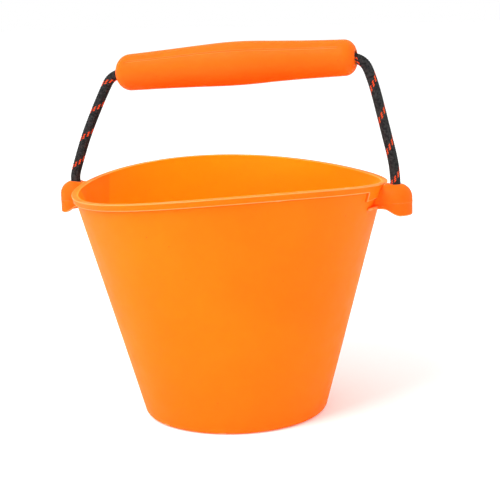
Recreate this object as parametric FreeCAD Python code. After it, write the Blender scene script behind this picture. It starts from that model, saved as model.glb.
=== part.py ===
import FreeCAD, Part
import math
import os

# Soft sand bucket with a rope handle. All sizes are in millimetres.
# The origin is the centre of the base on the ground, +Z is up, and the two
# ears that hold the rope stand on the X axis.

# ---------------------------------------------------------------- driving sizes
# Moulded bucket shell
base_radius = 43.2         # outside of the wall, at the ground
mouth_radius = 74.3        # outside of the rim band, at its mean height
rim_height = 110.4         # mean height of the top of the rim
rim_wave = 3.1             # the soft rim rises and dips this much round the mouth
rim_wave_angle = 32.0      # direction of the low points, degrees from +X
wall_thickness = 1.9
floor_thickness = 2.6
base_edge_radius = 3.0
floor_edge_radius = 4.0
band_height = 3.2
band_proud = 1.2

# Ears: hollow hoods, open underneath, one at each end of the X axis
ear_end = 86.3             # furthest point of an ear from the centre
ear_top = 109.0
ear_skirt = 94.8           # lower edge at the outer end
ear_throat = 98.5          # lower edge where the ear meets the wall
skirt_bend_x = 73.5         # the lower edge's S runs from here
skirt_foot_x = 82.5         # to here
ear_half_width = 7.5
ear_edge_radius = 5.0
ear_wall = 2.0
rope_hole_x = 78.7
rope_hole_radius = 2.45
root_half_width = 17.5     # plate on the wall round each ear, flush with the band
ledge_height = 103.3       # lower edge of that plate
web_thickness = 1.1        # web between hood and wall, at the throat
web_reach = 73.6
web_half_width = 14.0
web_waist_x = 70.4
web_waist_y = 10.2
web_root = 3.0              # the web starts this far inside the wall's face

# Rope
cord_diameter = 4.6
knot_radius = 4.9
knot_height = 7.6
knot_crown = 0.3           # cut off the top of the knot, where it presses on the ear
tail_length = 0.9          # the cut tail stands this far below the knot
tail_x = 1.6
tail_y = 0.6
tail_lean = 0.12
stub_length = 0.6          # rope between the ear's roof and the knot
hinge_gap = 0.4            # between the rope in an ear and the end of its leg

# Grip
grip_length = 115.3
grip_end_radius = 8.4
grip_middle_radius = 10.0
grip_edge_radius = 5.4
grip_crest = 9.0           # half length of the rounded stretch in the middle
bore_radius = 2.9
bore_mouth_radius = 4.4
bore_mouth_depth = 4.0
leg_in_grip = 12.0         # a leg ends this far inside the grip
arc_share = 0.45           # part of the shorter run that an arc of the rope takes up

# Cutting tools and blanks
wall_spare = 5.0           # the wall's blank is this much taller than the rim
reach = 100.0              # half size of the rim's cutting surface
far = 60.0                 # taller or wider than what a tool cuts
below = 30.0
ear_root = 60.0            # an ear's blank starts here, well inside the wall
spare = 5.0

# ------------------------------------------------------------- worked-out sizes
up = FreeCAD.Vector(0, 0, 1)
origin = FreeCAD.Vector(0, 0, 0)
cord_radius = cord_diameter / 2
hinge_height = ear_top + hinge_gap + cord_radius
wall_top = rim_height + rim_wave + wall_spare
stub_bottom = ear_top - ear_wall - stub_length
wall_slope = (mouth_radius - band_proud - base_radius) / rim_height
wall_angle = math.atan(wall_slope)
wall_across = wall_thickness / math.cos(wall_angle)

# The rope's line from the left ear to the right one, as points (x, z) in the
# plane of the ears: up the left leg, through the grip and down the right leg.
left_leg = [(-rope_hole_x, hinge_height), (-76.4, 118.4), (-71.3, 132.0), (-61.9, 150.9)]
left_turn = (-56.6, 160.0)
right_turn = (64.3, 166.4)
right_leg = [(69.0, 156.2), (74.4, 134.0), (77.9, 120.0), (rope_hole_x, hinge_height)]


def vector(x, y, z):
    return FreeCAD.Vector(x, y, z)


def outer_radius(z):
    """Outside radius of the plain wall at height z."""
    return base_radius + wall_slope * z


def inner_radius(z):
    return outer_radius(z) - wall_across


def line(a, b):
    return Part.LineSegment(a, b).toShape()


def polygon_face(points):
    return Part.Face(Part.makePolygon(points + points[:1]))


def turned(face):
    """A face in the XZ plane turned about the Z axis, with its seam away from the ears."""
    solid = face.revolve(origin, up, 360)
    solid.rotate(origin, up, 90)
    return solid


def corner_arc(before, corner, after, radius):
    """Start, middle and end of the arc that rounds a corner."""
    u = (before - corner).normalize()
    v = (after - corner).normalize()
    half = u.getAngle(v) / 2
    reach = radius / math.tan(half)
    to_centre = (u + v).normalize()
    centre = corner + to_centre * (radius / math.sin(half))
    return corner + u * reach, centre - to_centre * radius, corner + v * reach


# ------------------------------------------------------------------ bucket shell
def rim_surface(drop):
    """Saddle surface of the soft rim, lowered by drop."""
    bend = -rim_wave / mouth_radius ** 2
    squares = [reach ** 2, -reach ** 2, reach ** 2]
    places = [-reach, 0.0, reach]
    poles = []
    for i in range(3):
        row = []
        for j in range(3):
            height = rim_height - drop + bend * (squares[i] - squares[j])
            row.append(vector(places[i], places[j], height))
        poles.append(row)
    surface = Part.BSplineSurface()
    surface.buildFromPolesMultsKnots(poles, [3, 3], [3, 3], [0, 1], [0, 1], False, False, 2, 2)
    face = surface.toShape()
    face.rotate(origin, up, rim_wave_angle)
    return face


def wall_blank():
    """Straight-sided tub with a flat floor, taller than the rim."""
    base_corner = vector(base_radius, 0, 0)
    wall_end = vector(outer_radius(wall_top), 0, wall_top)
    foot_start, foot_middle, foot_end = corner_arc(origin, base_corner, wall_end, base_edge_radius)
    inner_corner = vector(inner_radius(floor_thickness), 0, floor_thickness)
    inner_end = vector(inner_radius(wall_top), 0, wall_top)
    floor_centre = vector(0, 0, floor_thickness)
    inner_start, inner_middle, inner_stop = corner_arc(inner_end, inner_corner, floor_centre, floor_edge_radius)
    outline = [
        line(origin, foot_start),
        Part.Arc(foot_start, foot_middle, foot_end).toShape(),
        line(foot_end, wall_end),
        line(wall_end, inner_end),
        line(inner_end, inner_start),
        Part.Arc(inner_start, inner_middle, inner_stop).toShape(),
        line(inner_stop, floor_centre),
        line(floor_centre, origin),
    ]
    return turned(Part.Face(Part.Wire(outline)))


def ring(bottom, top, proud):
    """Ring on the outside of the wall that reaches into its middle."""
    depth = wall_across / 2
    return turned(polygon_face([
        vector(outer_radius(bottom) - depth, 0, bottom),
        vector(outer_radius(bottom) + proud, 0, bottom),
        vector(outer_radius(top) + proud, 0, top),
        vector(outer_radius(top) - depth, 0, top),
    ]))


def rim_collar():
    """Band under the rim, with a deeper plate round each ear that ends in a ledge."""
    collar = ring(ear_skirt, wall_top, band_proud)
    below_band = rim_surface(band_height + below).extrude(up * below)
    corner = vector(-reach, -root_half_width, ledge_height)
    plates = Part.makeBox(2 * reach, 2 * root_half_width, far, corner)
    return collar.cut(rim_surface(0).extrude(up * far)).cut(below_band.cut(plates))


def ear_block():
    """Outside of a hood before its lower edge is cut: flat top, rounded edges."""
    height = ear_top - ear_skirt
    end_centre = ear_end - ear_half_width
    corner = vector(ear_root, -ear_half_width, ear_skirt)
    body = Part.makeBox(end_centre - ear_root, 2 * ear_half_width, height, corner)
    nose = Part.makeCylinder(ear_half_width, height, vector(end_centre, 0, ear_skirt))
    block = body.fuse(nose).removeSplitter()
    top_edges = []
    for edge in block.Edges:
        box = edge.BoundBox
        if box.ZMin > ear_top - 0.01 and box.XMax > ear_root + 0.5:
            top_edges.append(edge)
    return block.makeFillet(ear_edge_radius, top_edges)


def ear_underside():
    """What the S-shaped lower edge of a hood leaves out."""
    low = ear_skirt - spare
    start = vector(ear_root - spare, -below, ear_throat)
    bend = vector(skirt_bend_x, -below, ear_throat)
    foot = vector(skirt_foot_x, -below, ear_skirt)
    stop = vector(ear_end + spare, -below, ear_skirt)
    pull = vector((foot.x - bend.x) / 3, 0, 0)
    curve = Part.BezierCurve()
    curve.setPoles([bend, bend + pull, (bend + foot) * 0.5, foot - pull, foot])
    stop_low = vector(stop.x, -below, low)
    start_low = vector(start.x, -below, low)
    outline = [
        line(start, bend),
        curve.toShape(),
        line(foot, stop),
        line(stop, stop_low),
        line(stop_low, start_low),
        line(start_low, start),
    ]
    return Part.Face(Part.Wire(outline)).extrude(vector(0, 2 * below, 0))


def ear_hollow():
    """Space inside a hood, for the knot, open underneath."""
    low = ear_skirt - spare
    top = ear_top - ear_wall
    half = ear_half_width - ear_wall
    height = top - low
    end_centre = ear_end - ear_half_width
    body = Part.makeBox(end_centre - ear_root, 2 * half, height, vector(ear_root, -half, low))
    nose = Part.makeCylinder(half, height, vector(end_centre, 0, low))
    space = body.fuse(nose).removeSplitter()
    top_edges = []
    for edge in space.Edges:
        box = edge.BoundBox
        if box.ZMin > top - 0.01 and box.XMax > ear_root + 0.5:
            top_edges.append(edge)
    return space.makeFillet(ear_edge_radius - ear_wall, top_edges)


def ear_web():
    """Thin web at the throat that spreads from the hood onto the wall."""
    start_x = outer_radius(ear_throat) - web_root
    edges = []
    for side in (-1, 1):
        on_wall = vector(start_x, side * web_half_width, ear_throat)
        on_hood = vector(web_reach, side * ear_half_width, ear_throat)
        waist = vector(web_waist_x, side * web_waist_y, ear_throat)
        edges.append(Part.Arc(on_wall, waist, on_hood).toShape())
        edges.append(line(vector(ear_root, side * web_half_width, ear_throat), on_wall))
    for x, y in ((ear_root, web_half_width), (web_reach, ear_half_width)):
        edges.append(line(vector(x, -y, ear_throat), vector(x, y, ear_throat)))
    outline = Part.Wire(Part.__sortEdges__(edges))
    return Part.Face(outline).extrude(up * web_thickness)


def cone_inside(depth):
    """Everything inside the wall's outer face set in by depth."""
    low = -spare
    return turned(polygon_face([
        vector(0, 0, low),
        vector(outer_radius(low) - depth, 0, low),
        vector(outer_radius(wall_top) - depth, 0, wall_top),
        vector(0, 0, wall_top),
    ]))


def ear():
    """Hood with its web and rope hole, ending in the middle of the wall."""
    hood = ear_block().cut(ear_underside()).fuse(ear_web())
    hole = Part.makeCylinder(rope_hole_radius, below, vector(rope_hole_x, 0, ear_skirt))
    hood = hood.cut(ear_hollow().cut(cone_inside(0))).cut(hole)
    return hood.cut(cone_inside(wall_across / 2))


def bucket_shell():
    right = ear()
    left = right.copy()
    left.rotate(origin, up, 180)
    tub = wall_blank().cut(rim_surface(0).extrude(up * far))
    return tub.fuse([rim_collar(), right, left]).removeSplitter()


# -------------------------------------------------------------------------- grip
def grip_ends():
    """Centres of the two end faces of the grip, on the rope's straight stretch."""
    a = vector(left_turn[0], 0, left_turn[1])
    b = vector(right_turn[0], 0, right_turn[1])
    along = (b - a).normalize()
    start = a + along * ((b - a).Length - grip_length) / 2
    return start, start + along * grip_length, along


def handle_grip():
    """Spindle with round shoulders and a bore that opens at both mouths."""
    half = grip_length / 2
    taper = (grip_middle_radius - grip_end_radius) / half
    shoulder = vector(grip_end_radius, 0, half)
    crest = vector(grip_middle_radius, 0, 0)
    start, middle, stop = corner_arc(vector(0, 0, half), shoulder, crest, grip_edge_radius)
    crest_side = vector(grip_middle_radius - taper * grip_crest, 0, grip_crest)
    crest_top = vector(grip_middle_radius - taper * grip_crest / 2, 0, 0)
    edges = [line(vector(0, 0, half), start), Part.Arc(start, middle, stop).toShape(), line(stop, crest_side)]
    below = [edge.copy() for edge in edges]
    for edge in below:
        edge.rotate(origin, vector(1, 0, 0), 180)
    crest_low = vector(crest_side.x, 0, -grip_crest)
    edges.append(Part.Arc(crest_side, crest_top, crest_low).toShape())
    edges.extend(below)
    edges.append(line(vector(0, 0, -half), vector(0, 0, half)))
    outline = Part.Wire(Part.__sortEdges__(edges))
    grip = turned(Part.Face(outline))
    bore_length = grip_length + 2 * spare
    grip = grip.cut(Part.makeCylinder(bore_radius, bore_length, vector(0, 0, -half - spare)))
    flare = Part.makeCone(bore_radius, bore_mouth_radius, bore_mouth_depth, vector(0, 0, half - bore_mouth_depth))
    grip = grip.cut(flare)
    flare.rotate(origin, vector(1, 0, 0), 180)
    grip = grip.cut(flare)
    start, stop, along = grip_ends()
    turn = FreeCAD.Rotation(up, along)
    grip.Placement = FreeCAD.Placement((start + stop) * 0.5, turn)
    return grip


# -------------------------------------------------------------------------- rope
def rounded_path(points):
    """Straight runs through the points, joined by tangent arcs."""
    edges = []
    radii = []
    position = points[0]
    for i in range(1, len(points) - 1):
        before, corner, after = points[i - 1], points[i], points[i + 1]
        shorter = min((corner - before).Length, (after - corner).Length)
        half_turn = (corner - before).getAngle(after - corner) / 2
        radius = arc_share * shorter / math.tan(half_turn)
        radii.append(radius)
        start, middle, stop = corner_arc(before, corner, after, radius)
        edges.append(line(position, start))
        edges.append(Part.Arc(start, middle, stop).toShape())
        position = stop
    edges.append(line(position, points[-1]))
    return Part.Wire(edges), radii


def rope_tube(name, points):
    path, radii = rounded_path(points)
    along = (points[1] - points[0]).normalize()
    section = Part.Wire(Part.makeCircle(cord_radius, points[0], along))
    tube = path.makePipeShell([section], True, False)
    expected = math.pi * cord_radius ** 2 * path.Length
    print(name, "length %.1f" % path.Length, "volume / section x length %.4f" % (tube.Volume / expected))
    print("   radii", ["%.1f" % radius for radius in radii])
    return tube


def cord_leg(name, points, turn, grip_mouth, inwards):
    """Leg from its round end on the hinge axis to just inside the grip."""
    end = grip_mouth + inwards * leg_in_grip
    route = [vector(x, 0, z) for x, z in points]
    route.append(vector(turn[0], 0, turn[1]))
    route.append(end)
    tube = rope_tube(name, route)
    ball = Part.makeSphere(cord_radius, route[0])
    return tube.fuse(ball).removeSplitter()


def cord_end(side):
    """Stretch of rope in the hole of an ear, down to the knot."""
    return Part.makeCylinder(cord_radius, ear_top - stub_bottom, vector(side * rope_hole_x, 0, stub_bottom))


def stopper_knot(side):
    """Rounded lump of the knot, with the cut tail standing a little below it."""
    half = knot_height / 2
    knot = Part.makeSphere(knot_radius, origin)
    squash = FreeCAD.Matrix()
    squash.scale(1, 1, half / knot_radius)
    knot = knot.transformGeometry(squash)
    wide = 2 * knot_radius
    cap = Part.makeBox(2 * wide, 2 * wide, wide, vector(-wide, -wide, half - knot_crown))
    tail = Part.makeCylinder(cord_radius, half + tail_length, vector(tail_x, tail_y, 0), vector(tail_lean, 0, -1))
    knot = knot.cut(cap).fuse(tail)
    knot.translate(vector(rope_hole_x, 0, stub_bottom - half + knot_crown))
    if side < 0:
        knot.rotate(origin, up, 180)
    return knot


def write(name, shape):
    shape.exportStep("parts/" + name + ".step")
    print(name, "valid" if shape.isValid() else "NOT VALID", "solids", len(shape.Solids), "volume %.0f" % shape.Volume)


os.makedirs("parts", exist_ok=True)
write("bucket_shell", bucket_shell())
write("handle_grip", handle_grip())

grip_start, grip_stop, grip_along = grip_ends()
print("grip axis from", grip_start, "to", grip_stop)
write("cord_leg_left", cord_leg("cord_leg_left", left_leg, left_turn, grip_start, grip_along))
write("cord_leg_right", cord_leg("cord_leg_right", right_leg[::-1], right_turn, grip_stop, -grip_along))
inner_start = grip_start + grip_along * leg_in_grip
inner_length = grip_length - 2 * leg_in_grip
write("cord_in_grip", Part.makeCylinder(cord_radius, inner_length, inner_start, grip_along))
for side, label in ((-1, "left"), (1, "right")):
    write("cord_end_" + label, cord_end(side))
    write("knot_" + label, stopper_knot(side))
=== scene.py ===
import math

import bpy
import numpy as np
from mathutils import Matrix, Vector


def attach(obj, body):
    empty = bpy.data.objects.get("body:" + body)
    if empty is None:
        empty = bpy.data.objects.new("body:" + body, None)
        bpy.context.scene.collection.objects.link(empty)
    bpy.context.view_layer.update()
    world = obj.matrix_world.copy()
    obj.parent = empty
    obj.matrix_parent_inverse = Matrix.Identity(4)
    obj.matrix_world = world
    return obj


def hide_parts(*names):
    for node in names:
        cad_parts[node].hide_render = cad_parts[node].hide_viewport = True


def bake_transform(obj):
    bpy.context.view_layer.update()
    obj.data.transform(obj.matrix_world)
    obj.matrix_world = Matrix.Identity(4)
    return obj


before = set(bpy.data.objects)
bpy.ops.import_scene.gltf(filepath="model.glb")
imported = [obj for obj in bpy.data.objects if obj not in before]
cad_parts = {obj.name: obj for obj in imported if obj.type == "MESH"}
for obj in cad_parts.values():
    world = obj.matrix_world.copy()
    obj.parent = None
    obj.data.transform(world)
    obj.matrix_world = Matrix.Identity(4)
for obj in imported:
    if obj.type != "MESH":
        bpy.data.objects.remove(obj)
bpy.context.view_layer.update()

# Soft sand bucket with a rope handle. Sizes are in millimetres and are
# multiplied by MM when a mesh is made.
MM = 0.001

# ---------------------------------------------------------------- sizes, in mm
base_radius = 43.2
mouth_radius = 74.3
rim_height = 110.4
rim_wave = 3.1
rim_wave_angle = math.radians(32.0)
wall_thickness = 1.9
floor_thickness = 2.6
base_edge_radius = 3.0
floor_edge_radius = 4.0
band_height = 3.2
band_proud = 1.2
band_top_edge = 0.3
rim_inner_edge = 0.28
lean = 0.9                   # the soft mouth is this much higher at its right ear, lower at its left
lean_foot = 15.0             # the lean starts at this height and is whole 80 mm above it
lean_span = 80.0

ear_end = 86.3
ear_top = 109.0
ear_skirt = 94.8
ear_throat = 98.5
ear_half_width = 7.5
ear_edge_radius = 6.4
hollow_edge_radius = 3.2
ear_wall = 2.0
rope_hole_x = 78.7
rope_hole_radius = 2.45
root_half_width = 18.3       # half width of the plate behind an ear
ledge_height = 103.3         # lower edge of that plate
web_thickness = 1.1
web_start = 69.9
web_reach = 73.6
web_half_width = 14.0

cord_diameter = 4.6
grip_length = 115.3

wall_slope = (mouth_radius - band_proud - base_radius) / rim_height
wall_cosine = math.cos(math.atan(wall_slope))
wall_across = wall_thickness / wall_cosine


# ---------------------------------------------------------------------- camera
def make_camera():
    camera = bpy.data.cameras.new("camera")
    camera.sensor_width = 36.0
    camera.lens = 93.74
    camera.clip_start = 0.01
    camera.clip_end = 50.0
    obj = bpy.data.objects.new("camera", camera)
    bpy.context.scene.collection.objects.link(obj)
    right = Vector((0.95302, 0.30139, -0.03015))
    up = Vector((-0.03119, 0.19667, 0.97997))
    forward = Vector((-0.30128, 0.93300, -0.19683))
    place = Vector((193.65, -571.48, 197.53)) * MM
    matrix = Matrix((right, up, -forward)).transposed().to_4x4()
    matrix.translation = place
    obj.matrix_world = matrix
    bpy.context.scene.camera = obj


make_camera()
bpy.context.scene.view_settings.view_transform = "Standard"
bpy.context.scene.view_settings.look = "None"


# ---------------------------------------------------------------- mesh helpers
def mesh_object(name, points, faces, materials, smooth=True):
    mesh = bpy.data.meshes.new(name)
    mesh.from_pydata((np.asarray(points) * MM).tolist(), [], faces)
    mesh.update()
    for material in materials:
        mesh.materials.append(material)
    if smooth:
        mesh.shade_smooth()
    obj = bpy.data.objects.new(name, mesh)
    bpy.context.scene.collection.objects.link(obj)
    return obj


def smoothstep(t):
    t = np.clip(t, 0.0, 1.0)
    return t * t * (3.0 - 2.0 * t)


def lean_over(obj):
    """Raise the right side of the soft mouth and lower its left side a little."""
    mesh = obj.data
    flat = np.empty(len(mesh.vertices) * 3)
    mesh.vertices.foreach_get("co", flat)
    points = flat.reshape(-1, 3)
    share = smoothstep((points[:, 2] / MM - lean_foot) / lean_span)
    points[:, 2] += lean * MM * share * points[:, 0] / (rope_hole_x * MM)
    mesh.vertices.foreach_set("co", points.ravel())
    mesh.update()


# ------------------------------------------------------------------- materials
def add(nodes, kind, **values):
    node = nodes.new(kind)
    for key, value in values.items():
        setattr(node, key, value)
    return node


def mix_colour(nodes, links, factor, first, second):
    """Colour mix; each of the inputs is a socket or a constant."""
    node = add(nodes, "ShaderNodeMix", data_type="RGBA")
    for socket, value in ((0, factor), (6, first), (7, second)):
        if isinstance(value, bpy.types.NodeSocket):
            links.new(value, node.inputs[socket])
        else:
            node.inputs[socket].default_value = value
    return node.outputs[2]


def maths(nodes, links, operation, *values):
    node = add(nodes, "ShaderNodeMath", operation=operation)
    for i, value in enumerate(values):
        if isinstance(value, bpy.types.NodeSocket):
            links.new(value, node.inputs[i])
        else:
            node.inputs[i].default_value = value
    return node.outputs[0]


def noise(nodes, links, where, scale, detail=2.0, roughness=0.5):
    node = add(nodes, "ShaderNodeTexNoise")
    node.inputs["Scale"].default_value = scale
    node.inputs["Detail"].default_value = detail
    node.inputs["Roughness"].default_value = roughness
    links.new(where, node.inputs["Vector"])
    return node.outputs["Fac"]


def ramp(nodes, links, value, low, high, start=0.0, stop=1.0):
    node = add(nodes, "ShaderNodeMapRange")
    links.new(value, node.inputs["Value"])
    node.inputs["From Min"].default_value = low
    node.inputs["From Max"].default_value = high
    node.inputs["To Min"].default_value = start
    node.inputs["To Max"].default_value = stop
    return node.outputs["Result"]


def add_bump(nodes, links, shader, height, strength, distance):
    node = add(nodes, "ShaderNodeBump")
    node.inputs["Strength"].default_value = strength
    node.inputs["Distance"].default_value = distance
    links.new(height, node.inputs["Height"])
    links.new(node.outputs[0], shader.inputs["Normal"])


def new_material(name):
    material = bpy.data.materials.new(name)
    material.use_nodes = True
    nodes = material.node_tree.nodes
    links = material.node_tree.links
    shader = nodes["Principled BSDF"]
    return material, nodes, links, shader


painted_edge_highlight = (1.0, 0.40, 0.17, 1.0)
crease_shade = (0.85, 0.085, 0.003, 1.0)
speck_shade = (0.30, 0.03, 0.004, 1.0)
shadow_patch_slope = 0.52            # the painted shadow patch of the inner wall widens with height


def bucket_light_and_shade(nodes, links, place, tone, inside, shaded_tone):
    """Painted light and shade: a lighter inner wall painted as if lit more strongly; painted shade on
    the thick hoods, towards the foot, and in a patch of inner wall shadowed by each ear.

    proud is how far a point stands outside the line of the wall's outer face.
    """
    axes = add(nodes, "ShaderNodeSeparateXYZ")
    links.new(place, axes.inputs[0])
    x, y, z = axes.outputs
    across = maths(nodes, links, "POWER", x, 2.0)
    along = maths(nodes, links, "POWER", y, 2.0)
    radius = maths(nodes, links, "SQRT", maths(nodes, links, "ADD", across, along))
    wall = maths(nodes, links, "MULTIPLY_ADD", z, wall_slope, base_radius * MM)
    proud = maths(nodes, links, "SUBTRACT", radius, wall)
    # Painted shade: the hoods stand proud of the wall and are painted deeper, as thick silicone lets
    # less light through.
    hood = ramp(nodes, links, proud, low=0.0012, high=0.0026)
    inner = ramp(nodes, links, proud, low=-0.0014, high=-0.0008, start=1.0, stop=0.0)
    depth = maths(nodes, links, "ABSOLUTE", y)
    # Painted shadow: a patch of inner wall behind each ear, where the ear blocks the light.
    slant = maths(nodes, links, "MULTIPLY_ADD", z, -shadow_patch_slope, depth)
    patch_width = ramp(nodes, links, slant, low=-0.0395, high=-0.0380, start=1.0, stop=0.0)
    patch_height = ramp(nodes, links, z, low=0.085, high=0.094, start=0.0, stop=0.36)
    patch = maths(nodes, links, "MULTIPLY", patch_width, inner)
    patch = maths(nodes, links, "MULTIPLY", patch, patch_height)
    # Painted shade: darker towards the foot.
    shade_near_foot = ramp(nodes, links, z, low=0.0, high=0.050, start=0.35, stop=0.0)
    shade_mask = maths(nodes, links, "MAXIMUM", hood, patch)
    shade_mask = maths(nodes, links, "MAXIMUM", shade_mask, shade_near_foot)
    # Painted light: the inner wall is painted lighter, as if lit more strongly.
    tone = mix_colour(nodes, links, inner, tone, inside)
    return mix_colour(nodes, links, shade_mask, tone, shaded_tone)


def silicone(name, colour, pale, light_and_shade=None):
    """Soft translucent moulded silicone: mottled, with a satin skin, specks, scratches, painted
    highlights on its edges and painted shade in its creases.

    light_and_shade are the bucket's painted colours: a lighter inner wall as if lit more, and painted
    shade for its deeper parts.
    """
    material, nodes, links, shader = new_material(name)
    place = add(nodes, "ShaderNodeTexCoord").outputs["Object"]
    cloud = noise(nodes, links, place, scale=22.0, detail=3.0)
    tone = mix_colour(nodes, links, ramp(nodes, links, cloud, low=0.35, high=0.65), colour, pale)
    if light_and_shade:
        tone = bucket_light_and_shade(nodes, links, place, tone, *light_and_shade)
    # Painted highlight: convex edges, found by pointiness, are painted pale as if catching light.
    shape = add(nodes, "ShaderNodeNewGeometry").outputs["Pointiness"]
    edge = ramp(nodes, links, shape, low=0.512, high=0.528, start=0.0, stop=0.50)
    tone = mix_colour(nodes, links, edge, tone, painted_edge_highlight)
    # Painted shade: concave creases, found by pointiness, are painted darker.
    crease = ramp(nodes, links, shape, low=0.492, high=0.474, start=0.0, stop=0.6)
    tone = mix_colour(nodes, links, crease, tone, crease_shade)
    speck = noise(nodes, links, place, scale=900.0, detail=1.0)
    speck = ramp(nodes, links, speck, low=0.80, high=0.83)
    tone = mix_colour(nodes, links, speck, tone, speck_shade)
    links.new(tone, shader.inputs["Base Color"])
    satin = noise(nodes, links, place, scale=140.0, detail=4.0)
    satin = ramp(nodes, links, satin, low=0.3, high=0.7, start=0.48, stop=0.60)
    links.new(satin, shader.inputs["Roughness"])
    stretch = add(nodes, "ShaderNodeMapping")
    stretch.inputs["Rotation"].default_value = (0.4, 0.9, 0.3)
    stretch.inputs["Scale"].default_value = (60.0, 900.0, 900.0)
    links.new(place, stretch.inputs["Vector"])
    scratch = noise(nodes, links, stretch.outputs[0], scale=1.0, detail=1.0)
    scratch = ramp(nodes, links, scratch, low=0.74, high=0.78)
    grain = noise(nodes, links, place, scale=2600.0, detail=2.0)
    skin = maths(nodes, links, "MULTIPLY_ADD", scratch, -0.6, grain)
    add_bump(nodes, links, shader, skin, strength=0.25, distance=0.00006)
    shader.inputs["Subsurface Weight"].default_value = 0.5
    shader.inputs["Subsurface Radius"].default_value = (1.0, 0.40, 0.08)
    shader.inputs["Subsurface Scale"].default_value = 0.0030
    shader.inputs["IOR"].default_value = 1.15
    return material


def yarn(name, colour, dusty):
    """Twisted polyester yarn of the braid, slightly uneven and dusty."""
    material, nodes, links, shader = new_material(name)
    place = add(nodes, "ShaderNodeTexCoord").outputs["Object"]
    uneven = noise(nodes, links, place, scale=1100.0, detail=3.0, roughness=0.65)
    tone = mix_colour(nodes, links, ramp(nodes, links, uneven, low=0.40, high=0.62), colour, dusty)
    links.new(tone, shader.inputs["Base Color"])
    fibre = noise(nodes, links, place, scale=6000.0, detail=2.0)
    add_bump(nodes, links, shader, fibre, strength=0.5, distance=0.00005)
    shader.inputs["Roughness"].default_value = 0.75
    shader.inputs["Specular IOR Level"].default_value = 0.12
    shader.inputs["Sheen Weight"].default_value = 0.03
    return material


wall_orange = (1.0, 0.158, 0.0018, 1.0)
wall_orange_pale = (1.0, 0.174, 0.0026, 1.0)
painted_light_inner_orange = (1.0, 0.285, 0.0010, 1.0)
painted_shade_orange = (1.0, 0.123, 0.0040, 1.0)
grip_orange = (1.0, 0.122, 0.0045, 1.0)
grip_orange_pale = (1.0, 0.132, 0.0060, 1.0)
black = (0.008, 0.008, 0.009, 1.0)
dusty_black = (0.045, 0.044, 0.044, 1.0)
tracer_red = (1.0, 0.070, 0.010, 1.0)
tracer_red_pale = (1.0, 0.120, 0.025, 1.0)

shell_material = silicone("shell_silicone", wall_orange, wall_orange_pale, (painted_light_inner_orange, painted_shade_orange))
grip_material = silicone("grip_silicone", grip_orange, grip_orange_pale)
dark_yarn = yarn("cord_dark_yarn", black, dusty_black)
bright_yarn = yarn("cord_tracer_yarn", tracer_red, tracer_red_pale)


# ------------------------------------------------------------------------ cord
# Control points of the rope's line, in metres, in the plane of the ears: out of
# the left ear, up its leg, through the grip, and down into the right ear.
cord_route = [
    (-0.0787, 0.0, 0.1050), (-0.0787, 0.0, 0.1085), (-0.0787, 0.0, 0.1117), (-0.0764, 0.0, 0.1184),
    (-0.0713, 0.0, 0.1320), (-0.0619, 0.0, 0.1509), (-0.0566, 0.0, 0.1600), (-0.0417, 0.0, 0.1608),
    (0.0494, 0.0, 0.1656), (0.0643, 0.0, 0.1664), (0.0690, 0.0, 0.1562), (0.0744, 0.0, 0.1340),
    (0.0779, 0.0, 0.1200), (0.0787, 0.0, 0.1117), (0.0787, 0.0, 0.1085), (0.0787, 0.0, 0.1050),
]

# The tight stopper knot under the top of an ear, in metres. X and Y are
# measured from the rope hole, and Z from the ground.
knot_route = [
    (0.0, 0.0, 0.1064), (0.0, 0.0, 0.1052), (0.0014, -0.0012, 0.1042),
    (0.0031, 0.0006, 0.1036), (0.0018, 0.0029, 0.1031), (-0.0015, 0.0028, 0.1027),
    (-0.0031, 0.0, 0.1023), (-0.0018, -0.0027, 0.1019), (0.0014, -0.0029, 0.1015),
    (0.0030, -0.0008, 0.1011), (0.0032, 0.0008, 0.1003), (0.0032, 0.0009, 0.0993),
    (0.0033, 0.0009, 0.0985),
]

cord_curve_steps = 24
knot_curve_steps = 12
cord_outside = 2.4            # crests of the yarns, from the rope's line
knot_outside = 2.05           # the knot is pulled tight
braid_side = (0.0, 1.0, 0.0)  # angles round the rope are counted from this side
braid_pitch = 14.5            # a yarn goes once round the rope in this length
yarns_each_way = 16
tracer_yarns = (0, 1, 2)
yarn_rise = 0.21              # over and under the crossing yarns
yarn_half_thickness = 0.20
yarn_half_width = 0.29
tracer_half_width = 0.19
yarn_corners = 4
core_corners = 12
core_gap = 0.10               # the core's surface is this far inside the yarns' mean radius
rings_per_pitch = 40
twist_left = -2.62            # where the tracers stand on each leg, in radians
twist_right = -5.01
knot_twist = 0.7


def curve_points(name, route, resolution):
    """Points in mm read from the NURBS curve whose control points are the route."""
    curve = bpy.data.curves.new(name, "CURVE")
    curve.dimensions = "3D"
    curve.resolution_u = resolution
    spline = curve.splines.new("NURBS")
    spline.points.add(len(route) - 1)
    for point, place in zip(spline.points, route):
        point.co = (*place, 1.0)
    spline.order_u = 3
    spline.use_endpoint_u = True
    obj = bpy.data.objects.new(name, curve)
    mesh = bpy.data.meshes.new_from_object(obj)
    points = np.array([tuple(vertex.co) for vertex in mesh.vertices]) / MM
    bpy.data.meshes.remove(mesh)
    bpy.data.objects.remove(obj)
    bpy.data.curves.remove(curve)
    return points


def even_points(points, step):
    """The same line with evenly spaced points, and the distance of each along it."""
    runs = np.linalg.norm(np.diff(points, axis=0), axis=1)
    along = np.concatenate([[0.0], np.cumsum(runs)])
    count = max(int(round(along[-1] / step)), 2)
    places = np.linspace(0.0, along[-1], count + 1)
    columns = [np.interp(places, along, points[:, i]) for i in range(3)]
    return np.stack(columns, axis=1), places


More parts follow.
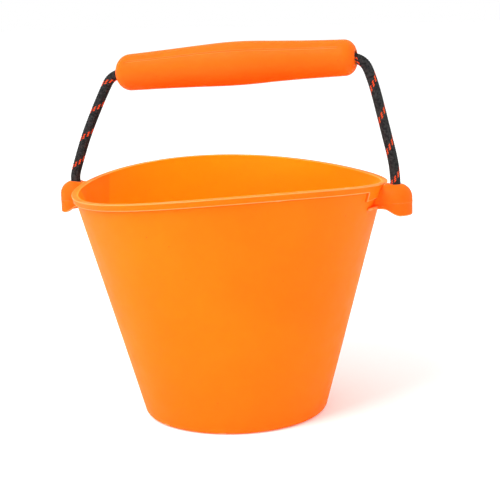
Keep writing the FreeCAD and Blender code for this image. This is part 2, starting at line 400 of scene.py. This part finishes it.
def carried_frames(points, first_side):
    """Tangents, sides and normals carried along a line without twist."""
    tangents = np.gradient(points, axis=0)
    tangents /= np.linalg.norm(tangents, axis=1)[:, None]
    sides = np.empty_like(points)
    side = np.array(first_side, float)
    for i, tangent in enumerate(tangents):
        side = side - tangent * side.dot(tangent)
        side /= np.linalg.norm(side)
        sides[i] = side
    return tangents, sides, np.cross(tangents, sides)


def tube_faces(rings, corners, first):
    """Quads of a tube of rings of points, with a cap at each end."""
    faces = []
    for i in range(rings - 1):
        for j in range(corners):
            k = (j + 1) % corners
            a = first + i * corners
            b = a + corners
            faces.append((a + j, a + k, b + k, b + j))
    faces.append(tuple(first + j for j in range(corners))[::-1])
    faces.append(tuple(first + (rings - 1) * corners + j for j in range(corners)))
    return faces


def braid(name, points, radius, first_side, twist):
    """Hollow braid over a core: yarns each way, over two and under two."""
    step = braid_pitch / rings_per_pitch
    line, along = even_points(points, step)
    _, sides, normals = carried_frames(line, first_side)
    scale = radius / (cord_diameter / 2)
    middle = radius - (yarn_rise + yarn_half_thickness) * scale
    turn = 2 * math.pi * along / braid_pitch
    extra = twist(along)
    all_points, faces, colours = [], [], []
    rings = len(line)
    core_angles = np.linspace(0, 2 * math.pi, core_corners, endpoint=False)
    core = middle - core_gap * scale
    round_core = sides[:, None] * np.cos(core_angles)[None, :, None]
    round_core = round_core + normals[:, None] * np.sin(core_angles)[None, :, None]
    all_points.append((line[:, None] + core * round_core).reshape(-1, 3))
    core_faces = tube_faces(rings, core_corners, 0)
    faces.extend(core_faces)
    colours.extend([0] * len(core_faces))
    corners = np.linspace(0, 2 * math.pi, yarn_corners, endpoint=False)
    for hand in (1, -1):
        for i in range(yarns_each_way):
            start = 2 * math.pi * i / yarns_each_way
            crossing = 2 * yarns_each_way * along / braid_pitch
            phase = 2 * i + hand * crossing
            wave = np.cos(2 * math.pi * (phase - 0.5) / 4)
            distance = middle + hand * wave * yarn_rise * scale
            angle = start + hand * turn + extra
            out = sides * np.cos(angle)[:, None] + normals * np.sin(angle)[:, None]
            centre = line + out * distance[:, None]
            ahead = np.gradient(centre, axis=0)
            ahead /= np.linalg.norm(ahead, axis=1)[:, None]
            beside = np.cross(ahead, out)
            beside /= np.linalg.norm(beside, axis=1)[:, None]
            bright = 1 if hand > 0 and i in tracer_yarns else 0
            half_width = (tracer_half_width if bright else yarn_half_width) * scale
            wide = (np.cos(corners) * half_width)[None, :, None]
            thick = (np.sin(corners) * yarn_half_thickness * scale)[None, :, None]
            ring = beside[:, None] * wide + out[:, None] * thick
            first = sum(len(block) for block in all_points)
            all_points.append((centre[:, None] + ring).reshape(-1, 3))
            yarn_faces = tube_faces(rings, yarn_corners, first)
            faces.extend(yarn_faces)
            colours.extend([bright] * len(yarn_faces))
    obj = mesh_object(name, np.concatenate(all_points), faces, [dark_yarn, bright_yarn])
    obj.data.polygons.foreach_set("material_index", colours)
    return obj


def cord_twist(along):
    """The rope is twisted a little where the grip hides it."""
    total = along[-1]
    return twist_left + (twist_right - twist_left) * smoothstep((along / total - 0.4) / 0.2)


cord_line = curve_points("cord_line", cord_route, cord_curve_steps)
cord = braid("cord_handle", cord_line, cord_outside, braid_side, cord_twist)
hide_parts("cord_leg_left", "cord_leg_right", "cord_in_grip")
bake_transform(cord)

for side, label in ((-1, "left"), (1, "right")):
    line = curve_points("knot_line", knot_route, knot_curve_steps)
    line = line * [side, side, 1.0] + [side * rope_hole_x, 0.0, 0.0]
    knot = braid("stopper_knot_" + label, line, knot_outside, braid_side,
                 lambda along: knot_twist * side)
    lean_over(knot)
    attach(knot, "bucket")
    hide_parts("knot_" + label, "cord_end_" + label)


# ---------------------------------------------------------------- bucket shell
def outer_radius(z):
    return base_radius + wall_slope * z


def rim_z(angle, radius=mouth_radius):
    wave = np.cos(2 * (angle - rim_wave_angle))
    return rim_height - rim_wave * wave * (radius / mouth_radius) ** 2


column_step = 1.5             # degrees between the wall's columns
column_clearance = 0.35       # plain columns keep this far from the plates' edges
plate_middle = 106.0          # height at which a plate's half width is true
plate_edge_width = 0.3        # degrees over which a plate's edge rises

# Rows and columns are close together where an edge bends. The columns are
# degrees from a plate's edge, the band's rows are measured from its lower edge,
# and the ledge's rows are heights.
edge_columns = (-0.45, -0.2, -0.12, -0.04, 0.04, 0.12, 0.2, 0.45)
band_rows = (-0.4, -0.2, -0.12, -0.04, 0.04, 0.12, 0.2, 0.5)
ledge_rows = (102.7, 103.0, 103.1, 103.2, 103.3, 103.4, 103.5, 103.7)
step_width = 0.4              # the band's and the ledge's lower edges rise over this height

wall_rows = np.linspace(5.0, 102.0, 34)
plate_shares = (0.33, 0.66)   # rows between the ledge and the band
band_shares = (0.2, 0.4, 0.6, 0.8)
foot_rows = 17
rim_outer_rows = 7
rim_inner_rows = 6
inner_wall_rows = 40
inner_wall_start = 0.03       # share of the wall's height above its first row
fillet_rows = 8
underside_rings = (0.25, 0.5, 0.7, 0.85, 0.95)
floor_rings = (0.92, 0.8, 0.6, 0.4, 0.2)
band_top_inset = 0.02
inner_wall_foot = floor_thickness + 6.0


def angle_list():
    """Columns round the wall, closer together at the edges of the ear plates."""
    plain = np.radians(np.arange(0.0, 360.0, column_step))
    edge = math.asin(root_half_width / outer_radius(plate_middle))
    steps = np.radians(edge_columns)
    extra = []
    for middle in (0.0, math.pi):
        for way in (-1, 1):
            extra.extend(middle + way * (edge + steps))
    extra = np.mod(extra, 2 * math.pi)
    near = np.min(np.abs(plain[:, None] - extra[None, :]), axis=1)
    kept = plain[near > math.radians(column_clearance)]
    return np.sort(np.concatenate([kept, extra])), edge


def shell_rows(angles, edge):
    """Radius and height of each row of the skin, from the underside over the rim to the floor."""
    rim = rim_z(angles)
    distance = np.minimum(np.abs(np.mod(angles + math.pi, 2 * math.pi) - math.pi),
                          np.abs(angles - math.pi))
    width = math.radians(plate_edge_width)
    plate = smoothstep((edge + width / 2 - distance) / width)
    rows = []

    def row(radius, height):
        radius = np.broadcast_to(radius, angles.shape).copy()
        height = np.broadcast_to(height, angles.shape).copy()
        rows.append((radius, height))

    for fraction in underside_rings:
        row(fraction * (base_radius - base_edge_radius), 0.0)
    tilt = math.atan(wall_slope)
    foot_turn = math.pi / 2 - tilt
    foot_centre = base_radius - base_edge_radius * math.tan(foot_turn / 2)
    for t in np.linspace(0.0, 1.0, foot_rows):
        a = -math.pi / 2 + t * foot_turn
        row(foot_centre + base_edge_radius * math.cos(a), base_edge_radius * (1 + math.sin(a)))

    for z in wall_rows:
        row(outer_radius(z), z)
    for z in ledge_rows:
        lift = smoothstep((z - (ledge_height - step_width / 2)) / step_width)
        row(outer_radius(z) + band_proud * plate * lift, z)
    band_low = rim - band_height
    for t in plate_shares:
        z = ledge_rows[-1] + t * (band_low + band_rows[0] - ledge_rows[-1])
        row(outer_radius(z) + band_proud * plate, z)
    for d in band_rows:
        lift = smoothstep((d + step_width / 2) / step_width)
        z = band_low + d
        row(outer_radius(z) + band_proud * np.maximum(plate, lift), z)
    for t in band_shares:
        z = band_low + band_rows[-1] + t * (band_height - band_rows[-1] - band_top_edge)
        row(outer_radius(z) + band_proud, z)

    top_outer = outer_radius(rim) + band_proud - band_top_inset
    for t in np.linspace(0.0, 1.0, rim_outer_rows):
        a = t * math.pi / 2
        row(top_outer - band_top_edge * (1 - math.cos(a)), rim - band_top_edge * (1 - math.sin(a)))
    top_inner = outer_radius(rim) - wall_across
    for t in np.linspace(0.0, 1.0, rim_inner_rows):
        a = t * math.pi / 2
        row(top_inner + rim_inner_edge * (1 - math.sin(a)), rim - rim_inner_edge * (1 - math.cos(a)))

    for t in np.linspace(inner_wall_start, 1.0, inner_wall_rows):
        z = (rim - rim_inner_edge) * (1 - t) + inner_wall_foot * t
        row(outer_radius(z) - wall_across, z)
    inner_base = outer_radius(floor_thickness) - wall_across
    fillet_centre = inner_base - floor_edge_radius * math.tan(foot_turn / 2)
    for t in np.linspace(0.0, 1.0, fillet_rows):
        a = -(math.pi / 2) * t - tilt * (1 - t)
        radius = fillet_centre + floor_edge_radius * math.cos(a)
        row(radius, floor_thickness + floor_edge_radius * (1 + math.sin(a)))
    for fraction in floor_rings:
        row(fraction * fillet_centre, floor_thickness)
    return rows


def revolved_shell(material):
    """Wall, floor, rim band and ear plates as one closed skin."""
    angles, edge = angle_list()
    rows = shell_rows(angles, edge)
    count = len(angles)
    points = [(0.0, 0.0, 0.0)]
    for radius, height in rows:
        block = np.stack([radius * np.cos(angles), radius * np.sin(angles), height], axis=1)
        points.extend(map(tuple, block))
    points.append((0.0, 0.0, floor_thickness))
    faces = []
    for j in range(count):
        faces.append((0, 1 + (j + 1) % count, 1 + j))
    for i in range(len(rows) - 1):
        a = 1 + i * count
        b = a + count
        for j in range(count):
            k = (j + 1) % count
            faces.append((a + j, a + k, b + k, b + j))
    last = 1 + (len(rows) - 1) * count
    tip = len(points) - 1
    for j in range(count):
        faces.append((last + j, last + (j + 1) % count, tip))
    return mesh_object("bucket_shell_skin", points, faces, [material])


# ------------------------------------------------------------------------ ears
def smooth_min(a, b, k):
    h = np.clip(0.5 + 0.5 * (b - a) / k, 0.0, 1.0)
    return b + (a - b) * h - k * h * (1.0 - h)


def smooth_max(a, b, k):
    return -smooth_min(-a, -b, k)


def rounded_hood(x, y, z, half, top, edge):
    """Distance to a U-shaped block with a flat top and rounded edges."""
    middle = ear_end - ear_half_width
    side = np.sqrt(np.maximum(x - middle, 0.0) ** 2 + y ** 2) - half
    qa = side + edge
    qb = z - top + edge
    outside = np.sqrt(np.maximum(qa, 0.0) ** 2 + np.maximum(qb, 0.0) ** 2)
    return outside + np.minimum(np.maximum(qa, qb), 0.0) - edge


mould_line = 100.8             # height of the parting line round a hood
flash_height = 0.11
flash_width = 0.28
sunk = 0.12                    # the ear's own wall lies this far under the shell's
ear_rise = {1: -0.1, -1: 0.8}  # the soft hoods are not quite level
rim_reach = 74.5               # the hood's top leaves the rim here, in X, and
rim_reach_width = 4.0          # is level 4 mm further out
skirt_start = 73.5             # the hood's lower edge falls from the throat here
skirt_width = 9.0
skirt_scale = 0.93             # keeps the sloping lower edge's distance true
web_overlap = 1.0              # the web runs on into the hood by this much
web_curve = 2.2                # power of the curve of the web's outline
web_scale = 0.8                # keeps the curved web's distance true
plate_overlap = 0.2            # the ear's copy of the plate starts this much higher
plate_inset = 0.5              # and is this much narrower to each side

# Radii of the soft joins and edges between the shapes.
skirt_edge = 0.5
web_edge = 0.8
slab_edge = 0.5
plate_join = 0.15
web_join = 1.2
wall_join = 0.6
hollow_wall_edge = 0.6
hollow_edge = 0.4
hole_edge = 0.6
hollow_wall_gap = 0.1          # the hollow stops this far outside the wall

# The patch of wall that an ear's mesh keeps. The rest is cut away from it.
patch_half_width = 15.6
patch_low = 96.2
patch_below_rim = 0.9
patch_proud = 1.5
patch_over_band = 0.3

# Box of the grid in which an ear's skin is found, and its spacing.
ear_box_low = (66.0, -16.4, 93.9)
ear_box_high = (87.5, 16.5, 112.5)
grid_step = 0.3
project_rounds = 4
sharp_angle = 50.0             # degrees; edges sharper than this stay crisp


def ear_distance(x, y, z, side):
    """Signed distance, roughly, to an ear with the wall behind it, both at the +X end."""
    angle = np.arctan2(y, x) + (0.0 if side > 0 else math.pi)
    radius = np.sqrt(x ** 2 + y ** 2)
    wall = (radius - outer_radius(z)) * wall_cosine
    near_rim = 1.0 - smoothstep((x - rim_reach) / rim_reach_width)
    roof = ear_top + ear_rise[side]
    top = roof + (rim_z(angle, radius) - sunk - roof) * near_rim
    flash = flash_height * np.exp(-((z - mould_line) / flash_width) ** 2)
    hood = rounded_hood(x, y, z, ear_half_width, top, ear_edge_radius) - flash
    drop = smoothstep((x - skirt_start) / skirt_width)
    lower = ear_throat + (ear_skirt - ear_throat) * drop
    hood = smooth_max(hood, (lower - z) * skirt_scale, skirt_edge)

    reach = np.clip((x - web_start) / (web_reach - web_start), 0.0, 1.0)
    spread = ear_half_width + (web_half_width - ear_half_width) * (1 - reach) ** web_curve
    web = smooth_max(np.abs(y) - spread, x - web_reach - web_overlap, web_edge) * web_scale
    slab = np.abs(z - ear_throat - web_thickness / 2) - web_thickness / 2
    web = smooth_max(web, slab, slab_edge)

    plate_side = np.abs(y) - root_half_width + plate_inset
    plate_edges = np.maximum(ledge_height + plate_overlap - z, plate_side)
    plate = np.maximum(wall - (band_proud - sunk), plate_edges)
    back = smooth_min(wall + sunk, plate, plate_join)
    solid = smooth_min(hood, web, web_join)
    solid = smooth_min(solid, back, wall_join)

    inner_half = ear_half_width - ear_wall
    hollow = rounded_hood(x, y, z, inner_half, ear_top - ear_wall, hollow_edge_radius)
    hollow = smooth_max(hollow, hollow_wall_gap - wall, hollow_wall_edge)
    solid = smooth_max(solid, -hollow, hollow_edge)
    hole = np.sqrt((x - rope_hole_x) ** 2 + y ** 2) - rope_hole_radius
    solid = smooth_max(solid, -hole, hole_edge)

    above_patch = z - rim_z(angle, radius) + patch_below_rim
    patch = np.maximum(np.abs(y) - patch_half_width, np.maximum(patch_low - z, above_patch))
    near_wall = np.maximum(patch, wall - patch_proud)
    outside_wall = band_proud + patch_over_band - wall
    solid = np.maximum(solid, np.minimum(near_wall, outside_wall))
    return np.maximum(solid, -(wall + wall_across / 2))


def project(points, distance, rounds):
    """Move points onto the surface where distance is zero, by short steps along its slope."""
    h = 0.01
    least_slope = 0.2
    longest_step = 0.15
    for _ in range(rounds):
        x, y, z = points.T
        value = distance(x, y, z)
        slope = np.stack([
            distance(x + h, y, z) - distance(x - h, y, z),
            distance(x, y + h, z) - distance(x, y - h, z),
            distance(x, y, z + h) - distance(x, y, z - h),
        ], axis=1) / (2 * h)
        size = np.maximum((slope ** 2).sum(axis=1), least_slope)
        move = slope * (value / size)[:, None]
        length = np.linalg.norm(move, axis=1)
        move *= (np.minimum(length, longest_step) / np.maximum(length, 1e-9))[:, None]
        points = points - move
    return points


def skin_of(distance, low, high, step):
    """Points and quads of the surface where distance is zero: one point in each cell it cuts."""
    axes = [np.arange(low[i], high[i], step) for i in range(3)]
    grid = np.meshgrid(*axes, indexing="ij")
    value = distance(*grid)
    inside = value < 0
    corners = [(i, j, k) for i in (0, 1) for j in (0, 1) for k in (0, 1)]
    size = [len(axis) - 1 for axis in axes]
    total = np.zeros(size, int)
    for i, j, k in corners:
        total += inside[i:i + size[0], j:j + size[1], k:k + size[2]]
    cells = np.argwhere((total > 0) & (total < 8))
    number = -np.ones(size, int)
    number[tuple(cells.T)] = np.arange(len(cells))
    sums = np.zeros((len(cells), 3))
    hits = np.zeros(len(cells))
    for a in corners:
        for axis in range(3):
            if a[axis]:
                continue
            b = list(a)
            b[axis] = 1
            va = value[tuple((cells + a).T)]
            vb = value[tuple((cells + b).T)]
            cut = (va < 0) != (vb < 0)
            t = np.where(cut, va / np.where(cut, va - vb, 1.0), 0.0)
            place = np.array(a, float)[None, :].repeat(len(cells), axis=0)
            place[:, axis] += t
            sums[cut] += place[cut]
            hits[cut] += 1
    points = (cells + sums / hits[:, None]) * step + np.array(low)
    faces = []
    for axis in range(3):
        u, v = (axis + 1) % 3, (axis + 2) % 3
        change = inside != np.roll(inside, -1, axis=axis)
        change[tuple(slice(-1, None) if i == axis else slice(None) for i in range(3))] = False
        places = np.argwhere(change)
        good = np.all((places[:, [u, v]] > 0), axis=1)
        good &= (places[:, u] < size[u]) & (places[:, v] < size[v])
        places = places[good]
        ring = []
        for du, dv in ((-1, -1), (0, -1), (0, 0), (-1, 0)):
            cell = places.copy()
            cell[:, u] += du
            cell[:, v] += dv
            ring.append(number[tuple(cell.T)])
        quads = np.stack(ring, axis=1)
        outward = inside[tuple(places.T)]
        quads[~outward] = quads[~outward][:, ::-1]
        faces.append(quads)
    return project(points, distance, project_rounds), np.concatenate(faces)


def join_ears(shell):
    """Join both ears to the shell in one closed skin."""
    for side in (1, -1):
        points, faces = skin_of(lambda x, y, z: ear_distance(x, y, z, side),
                                ear_box_low, ear_box_high, grid_step)
        turned = points * [side, side, 1.0]
        ear = mesh_object("ear", turned, faces.tolist(), [shell_material])
        modifier = shell.modifiers.new("join", "BOOLEAN")
        modifier.operation = "UNION"
        modifier.solver = "EXACT"
        modifier.object = ear
        graph = bpy.context.evaluated_depsgraph_get()
        joined = bpy.data.meshes.new_from_object(shell.evaluated_get(graph))
        shell.modifiers.remove(modifier)
        shell.data = joined
        bpy.data.objects.remove(ear)
    shell.data.shade_smooth()
    shell.data.set_sharp_from_angle(angle=math.radians(sharp_angle))


shell = revolved_shell(shell_material)
join_ears(shell)
lean_over(shell)
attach(shell, "bucket")
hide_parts("bucket_shell")


# ------------------------------------------------------------------------ grip
# Diameters measured along the grip from its left end, in mm.
grip_stations = (0.0, 7.0, 23.0, 39.0, 50.0, 58.0, 66.0, 78.0, 93.0, 108.0, 115.3)
grip_diameters = (16.7, 17.0, 17.8, 18.9, 19.8, 20.1, 19.8, 18.4, 17.1, 16.3, 16.0)
grip_arch = 0.8               # the middle lies this much above the line of the ends
left_edge = 7.0               # radius that rounds each end
right_edge = 5.4
bore_radius = 2.5
bore_lip = 2.9                # the bore opens to this radius over bore_depth
bore_depth = 3.0
lip_round = 0.3
lip_power = 2.5
arch_power = 1.5
smoothing = 5.0               # the profile is averaged over this far each way
grip_column_step = 2.5        # degrees
bore_rows = 6
lip_rows = 4
round_rows = 26
body_rows = 96

# Middle of the left end, the grip's axis, and the two directions across it.
grip_start = np.array((-53.72, 0.0, 160.15))
grip_axis = np.array((0.998602, 0.0, 0.052862))
grip_up = np.array((-0.052862, 0.0, 0.998602))
grip_back = np.array((0.0, 1.0, 0.0))

# Mould line along the front and the back of the grip.
ridge_turn = math.radians(38.0)
ridge_middles = (math.pi - ridge_turn, 2 * math.pi - ridge_turn)
ridge_columns = np.radians([-2.4, -1.2, 0.0, 1.2, 2.4])
ridge_half_width = math.radians(1.8)
ridge_height = 0.25
ridge_fade = 4.0              # the line fades out this near to either end
ridge_least_radius = 7.0      # and stays off the end faces
arch_least_radius = 5.2       # the middle of each end stays on the rope's line


def smooth_profile(x, xs, ys):
    """Piecewise-linear profile averaged over a few millimetres."""
    shifts = np.linspace(-smoothing, smoothing, 11)
    return np.mean([np.interp(x + shift, xs, ys) for shift in shifts], axis=0)


def mouth_rows():
    """Distance from the end and radius, from inside the bore out over its lip."""
    rows = []
    for t in np.linspace(0.0, 1.0, bore_rows):
        rows.append((bore_depth * (1 - t), bore_radius + (bore_lip - bore_radius) * t ** lip_power))
    for t in np.linspace(0.2, 1.0, lip_rows):
        rows.append((0.0, bore_lip + lip_round * (1 - math.cos(t * math.pi / 2))))
    return rows


def end_rows(edge, station):
    """Distance from the end and radius, over the rounded end to the body."""
    radius = float(np.interp(station, grip_stations, grip_diameters)) / 2
    rows = []
    for t in np.linspace(0.0, 1.0, round_rows):
        a = t * math.pi / 2
        rows.append((edge * (1 - math.cos(a)), radius - edge * (1 - math.sin(a))))
    return rows


def grip_mesh(material):
    """Tube with a bore, rounded ends, a thicker middle and a slight upward arch."""
    left = mouth_rows() + end_rows(left_edge, left_edge)
    right = mouth_rows() + end_rows(right_edge, grip_length - right_edge)
    rows = list(left)
    for s in np.linspace(left_edge + 1.0, grip_length - right_edge - 1.0, body_rows):
        rows.append((s, float(smooth_profile(s, grip_stations, grip_diameters)) / 2))
    for inset, radius in reversed(right):
        rows.append((grip_length - inset, radius))
    stations = np.array([s for s, _ in rows])
    radii = np.array([max(r, bore_radius) for _, r in rows])

    plain = np.radians(np.arange(0.0, 360.0, grip_column_step))
    special = []
    for middle in ridge_middles:
        special.extend(middle + ridge_columns)
    angles = [a for a in plain if min(abs(a - b) for b in special) > ridge_half_width]
    angles = np.sort(np.array(angles + special))
    ridge = np.zeros_like(angles)
    for middle in ridge_middles:
        ridge += np.maximum(0.0, 1.0 - np.abs(angles - middle) / ridge_half_width)
    on_body = smoothstep((stations - ridge_fade) / ridge_fade)
    on_body = on_body * smoothstep((grip_length - ridge_fade - stations) / ridge_fade)
    on_body = np.where(radii > ridge_least_radius, on_body, 0.0)
    arch = grip_arch * np.sin(math.pi * np.clip(stations / grip_length, 0, 1)) ** arch_power
    arch = np.where(radii > arch_least_radius, arch, 0.0)
    full = radii[:, None] + ridge_height * on_body[:, None] * ridge[None, :]
    cosine, sine = np.cos(angles), np.sin(angles)
    across = cosine[None, :, None] * grip_back + sine[None, :, None] * grip_up
    points = grip_start + stations[:, None, None] * grip_axis
    points = points + full[..., None] * across
    points = points + arch[:, None, None] * grip_up
    count = len(angles)
    faces = []
    rings = len(stations)
    for i in range(rings):
        a = i * count
        b = ((i + 1) % rings) * count
        for j in range(count):
            k = (j + 1) % count
            faces.append((a + j, b + j, b + k, a + k))
    return mesh_object("grip_tube", points.reshape(-1, 3), faces, [material])


grip = grip_mesh(grip_material)
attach(grip, "grip")
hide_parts("handle_grip")


# ------------------------------------------------------------- floor and light
def floor_material():
    material, nodes, links, shader = new_material("studio_floor")
    place = add(nodes, "ShaderNodeTexCoord").outputs["Object"]
    cloud = noise(nodes, links, place, scale=3.0)
    tone = mix_colour(nodes, links, cloud, (0.90, 0.90, 0.90, 1.0), (0.94, 0.94, 0.94, 1.0))
    links.new(tone, shader.inputs["Base Color"])
    shader.inputs["Roughness"].default_value = 0.95
    shader.inputs["Specular IOR Level"].default_value = 0.1
    shader.inputs["Emission Color"].default_value = (1.0, 1.0, 1.0, 1.0)
    shader.inputs["Emission Strength"].default_value = 0.15
    return material


def make_floor():
    half = 6000.0             # far enough for the floor to fill every view
    points = [(-half, -half, 0.0), (half, -half, 0.0), (half, half, 0.0), (-half, half, 0.0)]
    floor = mesh_object("studio_floor", points, [(0, 1, 2, 3)], [floor_material()], smooth=False)


def soft_light(name, place, target, size, power):
    light = bpy.data.lights.new(name, "AREA")
    light.shape = "SQUARE"
    light.size = size
    light.energy = power
    obj = bpy.data.objects.new(name, light)
    bpy.context.scene.collection.objects.link(obj)
    obj.location = place
    direction = Vector(target) - Vector(place)
    obj.rotation_euler = direction.to_track_quat("-Z", "Y").to_euler()


def make_world(strength):
    world = bpy.data.worlds.new("studio")
    world.use_nodes = True
    background = world.node_tree.nodes["Background"]
    background.inputs["Color"].default_value = (1.0, 1.0, 1.0, 1.0)
    background.inputs["Strength"].default_value = strength
    bpy.context.scene.world = world


make_floor()
make_world(strength=1.0)
soft_light("key_light", place=(-0.5, -1.1, 1.6), target=(0.0, 0.0, 0.10), size=0.9, power=33.0)
soft_light("top_light", place=(0.3, 0.3, 1.9), target=(0.0, 0.0, 0.05), size=1.6, power=2.0)
